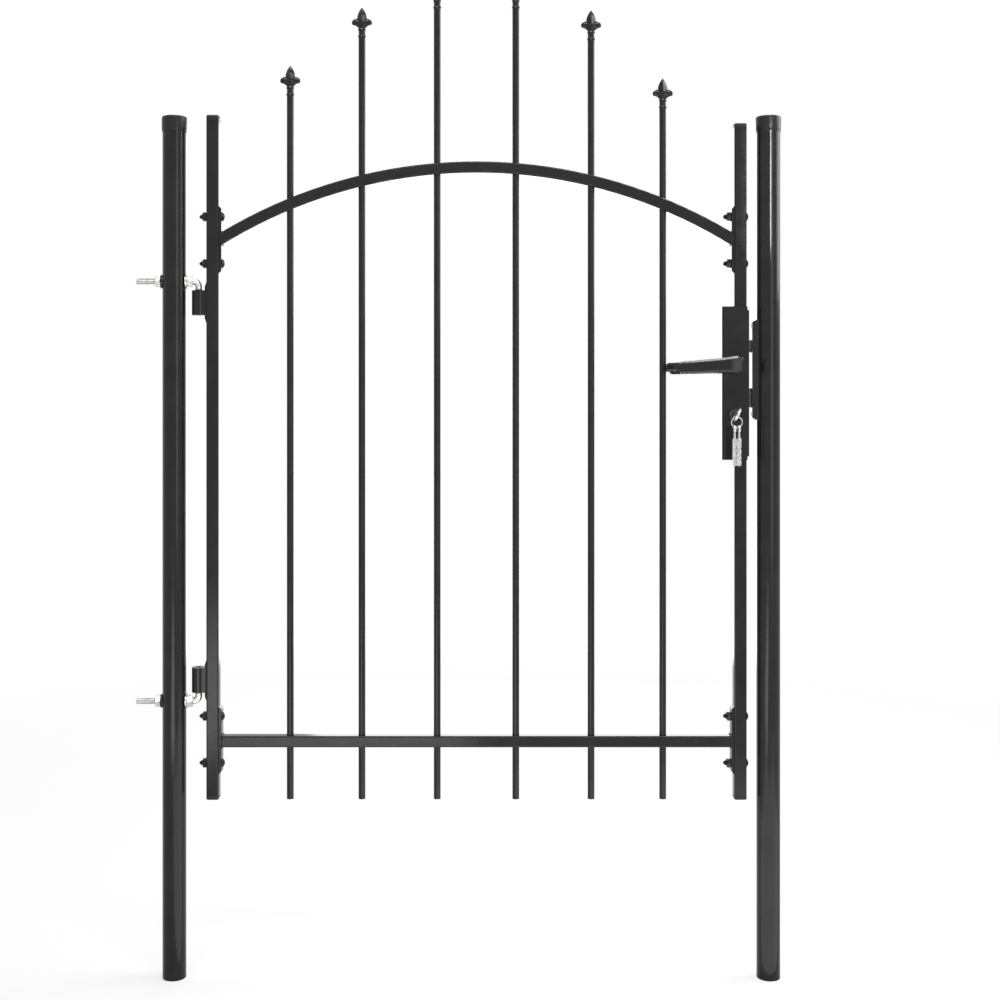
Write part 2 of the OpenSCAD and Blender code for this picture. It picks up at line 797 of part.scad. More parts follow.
function lever_rings() =
    let (
        top = lever_tip_shares[0] * lever_h / 2,
        low = -lever_tip_shares[1] * lever_h / 2,
        half_t = lever_tip_shares[2] * lever_t / 2,
        turn_r = half_t + lever_inner_r,
        pivot = [-lever_l + half_t + turn_r, turn_r - lever_reach]
    )
    concat(
        [
            for (s = lever_shares)
                lever_ring([s[0] * lever_l, -lever_reach], 180,
                    s[1] * lever_h / 2, -s[2] * lever_h / 2, s[3] * lever_t / 2)
        ],
        [
            for (heading = [180, 150, 120, 90])
                lever_ring(pivot + turn_r * [-sin(heading), cos(heading)], heading, top, low, half_t)
        ],
        [
            lever_ring([-lever_l + half_t, lever_return - lever_reach], 90,
                lever_end_shares[0] * lever_h / 2, -lever_end_shares[1] * lever_h / 2, half_t)
        ]
    );

// Lever on its neck; side = 0 in front, 1 behind
module lever(side) {
    neck_l = lever_reach - case_d / 2;
    socket = spindle_w + 2 * fit;
    color(coat_colour) translate([lock_x, 0, lever_z]) mirror([0, side, 0]) difference() {
        union() {
            loft(lever_rings());
            translate([0, -case_d / 2, 0]) rotate([90, 0, 0]) cylinder(d = neck_d, h = neck_l);
        }
        translate([-socket / 2, -case_d / 2 - spindle_socket, -socket / 2])
            cube([socket, spindle_socket + over, socket]);
    }
}

module lever_spindle() {
    l = case_d + 2 * spindle_socket - 2 * fit;
    color(zinc_colour) translate([lock_x - spindle_w / 2, -l / 2, lever_z - spindle_w / 2])
        cube([spindle_w, l, spindle_w]);
}

// Spring latch with a bevelled nose
module latch_bolt() {
    nose = strike_x - bolt_short;
    color(steel_colour) translate([0, 0, latch_z - latch_h / 2]) linear_extrude(latch_h) polygon([
        [nose - bolt_body_l, -latch_d / 2],
        [nose, -latch_d / 2],
        [nose, -latch_d / 4],
        [nose - latch_gap, latch_d / 2],
        [nose - bolt_body_l, latch_d / 2]
    ]);
}

module deadbolt() {
    nose = strike_x - bolt_short;
    color(steel_colour) translate([nose - bolt_body_l, -latch_d / 2, deadbolt_z - deadbolt_h / 2])
        cube([bolt_body_l, latch_d, deadbolt_h]);
}

// Strike

module screw_holes(d) {
    for (z = [strike_z0 + screw_inset, strike_z0 + strike_h - screw_inset])
        translate([strike_x - over, 0, z]) along_x()
            cylinder(d = d + 2 * bolt_clear, h = strike_standoff + screw_in + over);
}

// Folded channel with slanted ends, whose legs are cut to sit on the latch post
module strike_plate() {
    depth = latch_post_x - strike_x;
    slant_x = strike_standoff + strike_t;
    cut_h = strike_h + 2 * over;
    color(coat_colour) difference() {
        translate([strike_x, 0, strike_z0]) front_extrude(strike_w) polygon([
            [0, strike_bevel],
            [0, strike_h - strike_bevel],
            [slant_x, strike_h],
            [depth, strike_h],
            [depth, 0],
            [slant_x, 0]
        ]);
        post_box([depth, strike_w - 2 * strike_t, cut_h], strike_x + strike_t + depth / 2, strike_z0 - over);
        translate([latch_post_x, 0, strike_z0 - over]) cylinder(r = post_d / 2 + fit / 2, h = cut_h);
        bolt_slots(strike_x - over, strike_t + 2 * over);
        screw_holes(screw_d);
    }
}

module strike_screws() {
    color(coat_colour) for (z = [strike_z0 + screw_inset, strike_z0 + strike_h - screw_inset])
        translate([strike_x, 0, z]) {
            mirror([1, 0, 0]) along_x() dome(screw_head_d, screw_head_h);
            along_x() cylinder(d = screw_d, h = strike_standoff + screw_in - over);
        }
}

hinge_post();
latch_post();
post_cap(0);  // hinge_post_cap
post_cap(latch_post_x);  // latch_post_cap
hinge_hook(lower_hook_z, 1);  // lower_hinge_hook
hinge_hook(upper_hook_z, -1);  // upper_hinge_hook
hinge_saddles();
hinge_washers();
hinge_nuts();
strike_plate();
strike_screws();
stile(hinge_stile_x, tube_z0, hinge_stile_top - plug_head_h);  // hinge_stile
stile(lock_stile_x, case_z1, lock_stile_top - plug_head_h);  // lock_stile_upper
stile(lock_stile_x, tube_z0, case_z0);  // lock_stile_lower
stile_plugs();
arch_rail();
bottom_rail();
end_plates(arch_plate_z);  // arch_end_plates
end_plates(bottom_plate_z);  // bottom_end_plates
picket(0);  // picket_1
picket(1);  // picket_2
picket(2);  // picket_3
picket(3);  // picket_4
picket(4);  // picket_5
picket(5);  // picket_6
finial(0);  // finial_1
finial(1);  // finial_2
finial(2);  // finial_3
finial(3);  // finial_4
finial(4);  // finial_5
finial(5);  // finial_6
rail_bolts();
rail_nuts();
hinge_sleeve(lower_hook_z, 1);  // lower_hinge_sleeve
hinge_sleeve(upper_hook_z, -1);  // upper_hinge_sleeve
lock_case();
lock_faceplate();
lever_roses();
lock_cylinder();
cylinder_rings();
key();
key_ring();
spare_keys();
lever(0);  // front_lever
lever(1);  // rear_lever
lever_spindle();
latch_bolt();
deadbolt();
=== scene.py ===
"""Arched garden gate between two round posts.

Finishes, detailed pieces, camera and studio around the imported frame. Shapes are worked out in millimetres.
"""
import json
import math

import bpy
import numpy as np
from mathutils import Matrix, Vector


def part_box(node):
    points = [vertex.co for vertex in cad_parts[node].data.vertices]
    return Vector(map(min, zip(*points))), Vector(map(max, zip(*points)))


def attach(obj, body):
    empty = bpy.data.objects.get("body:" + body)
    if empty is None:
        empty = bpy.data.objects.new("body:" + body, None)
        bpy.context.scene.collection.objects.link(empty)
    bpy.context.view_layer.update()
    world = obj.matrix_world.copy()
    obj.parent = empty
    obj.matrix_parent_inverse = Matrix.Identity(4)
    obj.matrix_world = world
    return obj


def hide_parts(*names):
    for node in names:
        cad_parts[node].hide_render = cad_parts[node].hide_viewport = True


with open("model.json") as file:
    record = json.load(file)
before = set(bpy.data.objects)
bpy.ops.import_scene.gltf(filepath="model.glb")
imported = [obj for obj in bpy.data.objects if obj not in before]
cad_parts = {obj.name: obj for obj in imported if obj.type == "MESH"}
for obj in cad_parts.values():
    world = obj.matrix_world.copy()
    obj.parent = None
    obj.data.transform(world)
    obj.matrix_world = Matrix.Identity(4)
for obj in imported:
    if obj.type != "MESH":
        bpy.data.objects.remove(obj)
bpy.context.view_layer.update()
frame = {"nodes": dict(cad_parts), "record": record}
NODES = frame["nodes"]
MM = 0.001
TURN = 2 * np.pi
SHARP = math.radians(32)
SHARP_NUT = math.radians(24)


def box_mm(node):
    """Lowest and highest corner of a CAD node, in millimetres."""
    low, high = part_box(node)
    return np.array(low) / MM, np.array(high) / MM


# Surfaces: each shell is (points, faces), in millimetres

def skin(rings, start=None, end=None, closed=False):
    """Skin over rings (m, n, 3): quads run round each ring and on to the next.
    start and end are pole points joined by a fan; closed joins the last ring to the first."""
    m, n = rings.shape[:2]
    index = np.arange(m * n).reshape(m, n)
    if closed:
        index = np.vstack([index, index[:1]])
    near, far = index[:-1], index[1:]
    quads = np.stack([near, np.roll(near, -1, 1), np.roll(far, -1, 1), far], -1).reshape(-1, 4)
    faces = quads.tolist()
    points = rings.reshape(-1, 3)
    if start is not None:
        fan = np.stack([np.full(n, len(points)), np.roll(index[0], -1), index[0]], -1)
        faces += fan.tolist()
        points = np.vstack([points, start])
    if end is not None:
        fan = np.stack([np.full(n, len(points)), index[-1], np.roll(index[-1], -1)], -1)
        faces += fan.tolist()
        points = np.vstack([points, end])
    return points, faces


def lidded(rings):
    """Skin over rings with one flat face across the first ring and one across the last."""
    m, n = rings.shape[:2]
    points, faces = skin(rings)
    return points, faces + [list(range(n))[::-1], list(range((m - 1) * n, m * n))]


def lathe(profile, n=48):
    """Profile of (radius, height) turned round Z: x = r cos a, y = r sin a.
    A radius of 0 at an end is a pole; with no pole the profile is a closed loop and gives a ring."""
    profile = np.asarray(profile, float)
    start = [0, 0, profile[0, 1]] if profile[0, 0] == 0 else None
    end = [0, 0, profile[-1, 1]] if profile[-1, 0] == 0 else None
    rows = profile[1 if start else 0:len(profile) - 1 if end else len(profile)]
    a = np.linspace(0, TURN, n, endpoint=False)
    r, h = rows[:, :1], rows[:, 1:]
    rings = np.stack([r * np.cos(a), r * np.sin(a), h + 0 * a], -1)
    return skin(rings, start, end, closed=start is None and end is None)


def through(stations, m=8):
    """Catmull-Rom curve through the stations, m points to a span: each cubic leaves a station
    along half the chord between that station's neighbours."""
    p = np.asarray(stations, float)
    p = np.vstack([2 * p[0] - p[1], p, 2 * p[-1] - p[-2]])
    a, b, c, d = (q[:, None] for q in (p[:-3], p[1:-2], p[2:-1], p[3:]))
    t = np.linspace(0, 1, m, endpoint=False)[:, None]
    bent = (2 * a - 5 * b + 4 * c - d) * t**2 + (3 * b - a - 3 * c + d) * t**3
    spans = (2 * b + (c - a) * t + bent) / 2
    return np.vstack([spans.reshape(-1, p.shape[1]), p[-2:-1]])


def carry(centres, across, up, outline):
    """Outline carried along a path: ring i holds centre_i + u across_i + v up_i
    for the outline's points (u, v)."""
    centres = np.asarray(centres, float)
    across = np.broadcast_to(across, centres.shape)[:, None]
    up = np.broadcast_to(up, centres.shape)[:, None]
    outline = np.broadcast_to(outline, (len(centres),) + np.shape(outline)[-2:])
    return centres[:, None] + outline[..., :1] * across + outline[..., 1:] * up


def stacked(heights, outlines):
    """Outlines (u, v) stacked along Z at their heights."""
    zero = np.zeros(len(heights))
    return carry(np.stack([zero, zero, heights], -1), [1, 0, 0], [0, 1, 0], outlines)


def ellipse(u, v, n=32):
    """Ellipses of half axes u and v (one each, or one for each ring): (u cos a, v sin a)."""
    a = np.linspace(0, TURN, n, endpoint=False)
    u, v = np.atleast_1d(u)[:, None], np.atleast_1d(v)[:, None]
    return np.stack([u * np.cos(a), v * np.sin(a)], -1)


def rounded_rectangle(w, h, r, n=6):
    """Outline of a rectangle w by h with corner arcs of radius r, n points to an arc."""
    a = np.linspace(0, TURN / 4, n)
    turns = np.concatenate([a + k * TURN / 4 for k in range(4)])
    corner = np.repeat([[1, 1], [-1, 1], [-1, -1], [1, -1]], n, axis=0)
    return corner * [w / 2 - r, h / 2 - r] + r * np.stack([np.cos(turns), np.sin(turns)], -1)


def side_frame(path):
    """Path of (x, z) in the gate's plane as centres, with Y across it and its normal in the plane as up."""
    slope = np.gradient(path, axis=0)
    slope /= np.linalg.norm(slope, axis=1, keepdims=True)
    zero = np.zeros(len(path))
    centres = np.stack([path[:, 0], zero, path[:, 1]], -1)
    return centres, np.array([0.0, 1.0, 0.0]), np.stack([-slope[:, 1], zero, slope[:, 0]], -1)


def moved(shell, place=(0, 0, 0), facing="z", mirror=None):
    """Shell turned so that its Z runs along +X ("x") or towards the front, -Y ("front"), then moved
    to its place. mirror names an axis whose sign is changed first."""
    p = np.array(shell[0], float)
    if mirror is not None:
        p[:, "xyz".index(mirror)] *= -1
    if facing == "x":
        p = np.stack([p[:, 2], p[:, 1], -p[:, 0]], -1)
    if facing == "front":
        p = np.stack([p[:, 0], -p[:, 2], p[:, 1]], -1)
    return p + np.asarray(place, float), shell[1]


def volume(points, faces):
    """Signed volume of a closed shell: the sum over its faces' triangles of a . (b x c) / 6."""
    fans = np.array([[f[0], f[i], f[i + 1]] for f in faces for i in range(1, len(f) - 1)])
    a, b, c = points[fans[:, 0]], points[fans[:, 1]], points[fans[:, 2]]
    return np.einsum("ij,ij->i", a, np.cross(b, c)).sum() / 6


def piece(name, shells, finish, body, replaces=(), bevel=0.0, sharp=SHARP):
    """Object of one or more closed shells, faces outwards, with the record's finish, on a CAD body."""
    points, faces, count = [], [], 0
    for shell_points, shell_faces in shells:
        centred = shell_points - shell_points.mean(0)
        step = 1 if volume(centred, shell_faces) > 0 else -1
        faces += [[count + i for i in face[::step]] for face in shell_faces]
        points.append(shell_points)
        count += len(shell_points)
    mesh = bpy.data.meshes.new(name)
    mesh.from_pydata(np.vstack(points) * MM, [], faces)
    mesh.polygons.foreach_set("use_smooth", np.ones(len(mesh.polygons), bool))
    mesh.set_sharp_from_angle(angle=sharp)
    mesh.materials.append(FINISHES[finish])
    mesh.validate()
    obj = bpy.data.objects.new(name, mesh)
    bpy.context.scene.collection.objects.link(obj)
    if bevel:
        soft = obj.modifiers.new("soft_edges", "BEVEL")
        soft.width = bevel * MM
        soft.segments = 2
        soft.limit_method = "ANGLE"
        soft.angle_limit = SHARP
        soft.harden_normals = True
    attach(obj, body)
    if replaces:
        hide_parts(*replaces)
    return obj


# Finishes

def material(name, **sockets):
    """Material with a principled shader whose constant sockets are set, and its Object coordinates."""
    made = bpy.data.materials.new(name)
    made.use_nodes = True
    tree = made.node_tree
    shader = tree.nodes["Principled BSDF"]
    for socket, value in sockets.items():
        shader.inputs[socket.replace("_", " ")].default_value = value
    return made, tree, shader, tree.nodes.new("ShaderNodeTexCoord").outputs["Object"]


def noise(tree, coords, scale, detail=3.0, stretch=None):
    """Noise factor at a scale per metre; stretch multiplies the coordinates axis by axis."""
    if stretch is not None:
        mapping = tree.nodes.new("ShaderNodeMapping")
        mapping.inputs["Scale"].default_value = stretch
        tree.links.new(coords, mapping.inputs["Vector"])
        coords = mapping.outputs["Vector"]
    node = tree.nodes.new("ShaderNodeTexNoise")
    node.inputs["Scale"].default_value = scale
    node.inputs["Detail"].default_value = detail
    tree.links.new(coords, node.inputs["Vector"])
    return node.outputs["Fac"]


def tint(tree, factor, shader, dark, light):
    """Base colour that goes from dark to light over the middle of a factor."""
    node = tree.nodes.new("ShaderNodeValToRGB")
    for stop, place, colour in zip(node.color_ramp.elements, (0.3, 0.7), (dark, light)):
        stop.position = place
        stop.color = (*colour, 1)
    tree.links.new(factor, node.inputs["Fac"])
    tree.links.new(node.outputs["Color"], shader.inputs["Base Color"])


def roughen(tree, factor, shader, low, high):
    """Roughness that goes from low to high over a factor's middle half."""
    node = tree.nodes.new("ShaderNodeMapRange")
    for name, value in (("From Min", 0.25), ("From Max", 0.75), ("To Min", low), ("To Max", high)):
        node.inputs[name].default_value = value
    tree.links.new(factor, node.inputs["Value"])
    tree.links.new(node.outputs["Result"], shader.inputs["Roughness"])


def relief(tree, shader, heights):
    """Chain of bumps into the shader's normal; heights are (factor, strength, depth in metres)."""
    last = None
    for factor, strength, depth in heights:
        node = tree.nodes.new("ShaderNodeBump")
        node.inputs["Strength"].default_value = strength
        node.inputs["Distance"].default_value = depth
        tree.links.new(factor, node.inputs["Height"])
        if last is not None:
            tree.links.new(last, node.inputs["Normal"])
        last = node.outputs["Normal"]
    tree.links.new(last, shader.inputs["Normal"])


def powder_coat():
    """Satin black powder coat: faint cloudy variation and a fine orange-peel skin."""
    made, tree, shader, coords = material("powder_coat", Specular_IOR_Level=0.2)
    tint(tree, noise(tree, coords, 35, 4), shader, (0.0090, 0.0090, 0.0092), (0.0135, 0.0134, 0.0132))
    roughen(tree, noise(tree, coords, 90, 4), shader, 0.11, 0.17)
    peel = noise(tree, coords, 620, 1)
    grain = noise(tree, coords, 2600, 2)
    relief(tree, shader, [(peel, 0.14, 0.0002), (grain, 0.1, 0.00006)])
    return made


def moulded_plastic():
    """Matt black moulded plastic with a fine spark-eroded grain."""
    made, tree, shader, coords = material("moulded_plastic", Specular_IOR_Level=0.25)
    tint(tree, noise(tree, coords, 60, 4), shader, (0.006, 0.006, 0.0065), (0.010, 0.010, 0.0105))
    roughen(tree, noise(tree, coords, 150, 3), shader, 0.26, 0.36)
    relief(tree, shader, [(noise(tree, coords, 1900, 3), 0.22, 0.0001)])
    return made


def zinc_plating():
    """Bright zinc plating, slightly cloudy, with fine drawn lines."""
    made, tree, shader, coords = material("zinc_plating", Metallic=1.0)
    tint(tree, noise(tree, coords, 260, 5), shader, (0.46, 0.457, 0.44), (0.68, 0.676, 0.655))
    roughen(tree, noise(tree, coords, 420, 4), shader, 0.26, 0.42)
    relief(tree, shader, [(noise(tree, coords, 1500, 3, (0.2, 1, 1)), 0.16, 0.00008)])
    return made


def polished_steel():
    """Polished nickel steel of the keys, with fine scratches along them."""
    made, tree, shader, coords = material("polished_steel", Metallic=1.0)
    tint(tree, noise(tree, coords, 300, 4), shader, (0.34, 0.34, 0.34), (0.5, 0.5, 0.5))
    roughen(tree, noise(tree, coords, 900, 4, (1, 1, 0.15)), shader, 0.32, 0.46)
    relief(tree, shader, [(noise(tree, coords, 3000, 3, (1, 1, 0.08)), 0.1, 0.00004)])
    return made


def bolt_steel():
    """Dark steel of the latch, the deadbolt and the cylinder, ground along the bolts' length."""
    made, tree, shader, coords = material("ground_bolt_steel", Metallic=0.9)
    tint(tree, noise(tree, coords, 200, 4), shader, (0.035, 0.035, 0.036), (0.075, 0.074, 0.072))
    roughen(tree, noise(tree, coords, 700, 3), shader, 0.30, 0.42)
    relief(tree, shader, [(noise(tree, coords, 1800, 3, (0.06, 1, 1)), 0.14, 0.00006)])
    return made


FINISHES = {
    "black_coat": powder_coat(), "black_plastic": moulded_plastic(), "zinc_plate": zinc_plating(),
    "bright_steel": polished_steel(), "bolt_steel": bolt_steel(),
}
for row in frame["record"]["subparts"]:
    for held in NODES[row["node"]].material_slots:
        held.material = FINISHES[row["material_slot"]]


# Finials: heights are measured from the solid's tip

FINIAL_W = 29.5
BUD_POWER = 1.03
BUD_FOOT, BUD_TIP = -26.2, 1.2
# Half width and height
BUD_SIDE = [[1.6, -25.6], [4.2, -23.2], [5.9, -20.0], [6.8, -16.8], [6.95, -13.8], [6.5, -10.8], [5.75, -8.2],
            [4.8, -5.8], [3.5, -3.4], [2.1, -1.3], [1.1, 0.0], [0.45, 0.7]]
# Reach, height, half height and half depth
PETAL = [[2.6, -23.0, 4.0, 2.4], [5.3, -21.4, 6.8, 3.0], [7.9, -20.4, 5.6, 3.2], [10.3, -20.2, 4.6, 3.1],
         [12.4, -20.5, 3.8, 2.7], [13.8, -20.8, 2.8, 2.1], [14.5, -20.95, 1.7, 1.3]]
PETAL_ROOT, PETAL_END_Z = [2.0, 0, -23.6], -21.0
# Half width, half depth and height
CUP = [[4.6, 4.6, -31.0], [4.9, 4.7, -29.2], [5.7, 4.9, -27.8], [6.7, 5.1, -26.5], [7.6, 5.2, -25.0],
       [7.7, 5.3, -23.2], [6.9, 5.4, -21.6], [5.7, 5.3, -20.2]]
CUP_FOOT, CUP_TOP = -31.4, -19.6
# Radius and height
COLLAR = [[0, -43.4], [5.1, -43.4], [5.2, -42.4], [5.6, -41.7], [5.95, -41.4], [5.95, -41.2],
          [5.25, -38.9], [4.85, -38.5], [4.85, -35.6], [4.85, -32.6], [5.6, -32.3], [5.95, -32.0],
          [5.95, -31.8], [5.25, -29.5], [4.7, -29.1], [0, -28.5]]


def spear_finial(x, tip, width):
    """Cast finial. Bud: sections |u|^p + |v|^p = w^p whose half width w follows a curve from base to tip.
    Petals: ellipses carried outwards that swell from the neck and close to a rounded end.
    Cup: ellipses that widen from the neck and draw in again at the top.
    Collar: a turned profile with two bevelled rings."""
    side = through(BUD_SIDE, 5)
    a = np.linspace(0, TURN, 64, endpoint=False)
    reach = (np.abs(np.cos(a))**BUD_POWER + np.abs(np.sin(a))**BUD_POWER)**(-1 / BUD_POWER)
    sections = np.stack([reach * np.cos(a), reach * np.sin(a)], -1) * side[:, :1, None]
    bud = skin(stacked(side[:, 1], sections), [0, 0, BUD_FOOT], [0, 0, BUD_TIP])
    lobe = through(PETAL, 6)
    centres = np.stack([lobe[:, 0] * width / FINIAL_W, 0 * lobe[:, 0], lobe[:, 1]], -1)
    rings = carry(centres, [0, 1, 0], [0, 0, 1], ellipse(lobe[:, 3], lobe[:, 2], 28))
    petal = skin(rings, PETAL_ROOT, [width / 2, 0, PETAL_END_Z])
    cup = through(CUP, 6)
    cup_skin = skin(stacked(cup[:, 2], ellipse(cup[:, 0], cup[:, 1], 48)), [0, 0, CUP_FOOT], [0, 0, CUP_TOP])
    shells = [bud, petal, moved(petal, mirror="x"), cup_skin, lathe(COLLAR)]
    return [moved(shell, (x, 0, tip)) for shell in shells]


for i in range(1, 7):
    low, high = box_mm(f"finial_{i}")
    piece(f"spear_finial_{i}", spear_finial((low[0] + high[0]) / 2, high[2], high[0] - low[0]),
          "black_coat", "leaf", [f"finial_{i}"])


# Hinges

ROD_R, PIN_R = 5.0, 4.0
HOOK_TAIL_X, BEND_X, BEND_R, SHOULDER = -55.5, 27.9, 7.6, 12.7
HOOK_PITCH, HOOK_THREAD_DEPTH, THREAD_STEPS = 1.5, 0.85, 8
TAIL_SHARE, TAIL_GROWTH, RUN_OUT_GAP, RUN_OUT = 0.82, 0.15, 3, 4
HOOK_NUT_ACROSS, HOOK_NUT_T, HOOK_NUT_BORE = 16, 8, 10.1
NUT_EDGE_SHARE, NUT_CONE_SHARE, COUNTERSINK = 0.475, 0.16, 0.7


def thread(s, a, pitch, depth):
    """Depth of a V thread below its crest at place s along the bolt and angle a round it:
    depth times the triangle wave of s / pitch - a / turn."""
    phase = (s / pitch - a / TURN) % 1
    return depth * np.abs(2 * phase - 1)


def hook_bolt(z, turn, pin_end):
    """Hook bolt: circles carried along a straight, a quarter bend and the pin; the straight carries
    the thread. The pin points up for a turn of 1 and down for -1."""
    straight = np.arange(HOOK_TAIL_X, BEND_X - 1, HOOK_PITCH / THREAD_STEPS)
    bend = np.linspace(0, np.pi / 2, 20)
    pin = np.array([
        [9.5, ROD_R], [SHOULDER - 0.7, ROD_R], [SHOULDER - 0.2, ROD_R - 0.3], [SHOULDER, ROD_R - 0.6],
        [SHOULDER + 0.1, PIN_R + 0.2], [SHOULDER + 0.5, PIN_R], [pin_end - 1, PIN_R], [pin_end, PIN_R - 1]])
    path = np.vstack([
        np.stack([straight, 0 * straight], -1),
        np.stack([BEND_X + BEND_R * np.sin(bend), BEND_R - BEND_R * np.cos(bend)], -1),
        np.stack([np.full(len(pin), BEND_X + BEND_R), pin[:, 0]], -1)])
    a = np.linspace(0, TURN, 32, endpoint=False)
    radius = np.concatenate([np.full(len(straight) + len(bend), ROD_R), pin[:, 1]])
    radius *= np.clip(TAIL_SHARE + TAIL_GROWTH * (path[:, 0] - HOOK_TAIL_X), 0, 1)
    run_out = np.clip((BEND_X - RUN_OUT_GAP - path[:, 0]) / RUN_OUT, 0, 1) * (path[:, 1] == 0)
    rings_r = radius[:, None] - thread(path[:, :1], a, HOOK_PITCH, HOOK_THREAD_DEPTH) * run_out[:, None]
    outline = np.stack([rings_r * np.cos(a), rings_r * np.sin(a)], -1)
    rod = skin(carry(*side_frame(path), outline), [HOOK_TAIL_X, 0, 0], [BEND_X + BEND_R, 0, pin_end])
    return moved(rod, (0, 0, z), mirror="z" if turn < 0 else None)


def hex_nut(across, t, bore, n=96):
    """Hexagon nut on the ground plane: at angle a its side stands at (across / 2) / cos(a folded into
    30 degrees), a 30-degree cone cuts its corners at both faces, and the bore is countersunk."""
    a = np.linspace(0, TURN, n, endpoint=False)
    flat = across / 2 / np.cos((a + np.pi / 6) % (np.pi / 3) - np.pi / 6)
    cone = np.linspace(0, NUT_CONE_SHARE, 7)
    z = np.concatenate([cone, [0.5], 1 - cone[::-1]]) * t
    rise = np.minimum(z, t - z)[:, None] * math.sqrt(3)
    outer = np.minimum(flat, across * NUT_EDGE_SHARE + rise)
    inner = np.array([bore / 2 + COUNTERSINK, bore / 2, bore / 2, bore / 2 + COUNTERSINK])
    r = np.vstack([outer, np.repeat(inner[:, None], n, axis=1)])
    z = np.concatenate([z, [t, t - COUNTERSINK, COUNTERSINK, 0]])[:, None]
    return skin(np.stack([r * np.cos(a), r * np.sin(a), z + 0 * a], -1), closed=True)


hook_heights = []
for place, turn in (("lower", 1), ("upper", -1)):
    low, high = box_mm(f"{place}_hinge_hook")
    hook_heights.append(low[2] + ROD_R if turn > 0 else high[2] - ROD_R)
    rod = hook_bolt(hook_heights[-1], turn, high[2] - low[2] - ROD_R)
    piece(f"hook_bolt_{place}", [rod], "zinc_plate", "posts", [f"{place}_hinge_hook"])
nut_low, nut_high = box_mm("hinge_nuts")
hook_nut = hex_nut(HOOK_NUT_ACROSS, HOOK_NUT_T, HOOK_NUT_BORE)
piece("hook_nuts", [moved(hook_nut, (x, 0, z), "x")
                    for z in hook_heights for x in (nut_low[0], nut_high[0] - HOOK_NUT_T)],
      "zinc_plate", "posts", ["hinge_nuts"], sharp=SHARP_NUT)


# Rail bolts

BOLT_SPACING = 68
BOLT_HEAD_R, BOLT_HEAD_H, BOLT_R = 7.1, 3.8, 4.0
BOLT_GRIP, BOLT_TAIL, BOLT_POINT = 22.0, 11.0, 2.4
BOLT_PITCH, BOLT_THREAD_DEPTH, BOLT_SIDES = 1.25, 0.7, 28
RAIL_NUT_ACROSS, RAIL_NUT_T, RAIL_NUT_BORE = 12.5, 6, 8.1
PLATE_T = 4


def coach_bolt(head_x, z):
    """Domed head turned from a sphere's cap, plain shank, and a threaded tail that ends in a blunt point."""
    ball = (BOLT_HEAD_R**2 + BOLT_HEAD_H**2) / (2 * BOLT_HEAD_H)
    dome_r = BOLT_HEAD_R * np.cos(np.linspace(0, 1, 12) * np.pi / 2)
    dome = np.stack([dome_r, np.sqrt(ball**2 - dome_r**2) - ball + BOLT_HEAD_H], -1)
    dome[-1, 0] = 0
    head = lathe(np.vstack([[0, 0], [BOLT_HEAD_R - 0.4, 0], [BOLT_HEAD_R, 0.25], dome[1:]]))
    s = np.arange(0, BOLT_TAIL - BOLT_POINT, BOLT_PITCH / THREAD_STEPS)
    a = np.linspace(0, TURN, BOLT_SIDES, endpoint=False)
    plain = np.full((2, BOLT_SIDES), BOLT_R)
    cut = BOLT_R - thread(s[:, None], a, BOLT_PITCH, BOLT_THREAD_DEPTH)
    point = np.repeat([[BOLT_R - 0.9], [BOLT_R - BOLT_POINT]], BOLT_SIDES, axis=1)
    r = np.vstack([plain, cut, point])
    end = BOLT_GRIP + BOLT_TAIL
    h = -np.concatenate([[-0.5, BOLT_GRIP], s + BOLT_GRIP, [end - BOLT_POINT + 0.3, end]])[:, None]
    shank = skin(np.stack([r * np.cos(a), r * np.sin(a), h + 0 * a], -1), [0, 0, 0.5], [0, 0, -end - 0.2])
    return [moved(head, (head_x, 0, z), "x"), moved(shank, (head_x, 0, z), "x")]


bolt_heights = []
for node in ("arch_end_plates", "bottom_end_plates"):
    low, high = box_mm(node)
    middle = (low[2] + high[2]) / 2
    bolt_heights += [middle - BOLT_SPACING / 2, middle + BOLT_SPACING / 2]
stile_low, stile_high = box_mm("hinge_stile")
lock_low, lock_high = box_mm("lock_stile_upper")
head_places = [stile_high[0] + PLATE_T, lock_high[0]]
bolt_places = [(x, z) for z in bolt_heights for x in head_places]
piece("rail_coach_bolts", [shell for x, z in bolt_places for shell in coach_bolt(x, z)],
      "black_coat", "leaf", ["rail_bolts"])
rail_nut = hex_nut(RAIL_NUT_ACROSS, RAIL_NUT_T, RAIL_NUT_BORE)
piece("rail_hex_nuts", [moved(rail_nut, (x - BOLT_GRIP - RAIL_NUT_T, 0, z), "x") for x, z in bolt_places],
      "black_coat", "leaf", ["rail_nuts"], sharp=SHARP_NUT)


# Levers: places are measured from the spindle's middle, -X towards the tip and -Y towards the front

# Place x and y, upper edge, lower edge and half thickness
LEVER_BAR = [
    [7.9, -48, 4.6, -4.4, 2.0], [7.3, -48, 7.2, -6.6, 2.7], [5.8, -48, 9.6, -8.7, 3.4],
    [3.0, -48, 11.4, -10.1, 4.1], [-1.5, -48, 12.4, -10.8, 4.75], [-8, -48, 11.9, -10.9, 5.3],
    [-15, -48, 10.9, -10.8, 5.5], [-24.2, -48, 9.8, -10.7, 5.3], [-62.6, -48, 6.1, -11.6, 4.85],
    [-79, -48, 4.7, -12.1, 4.55]]
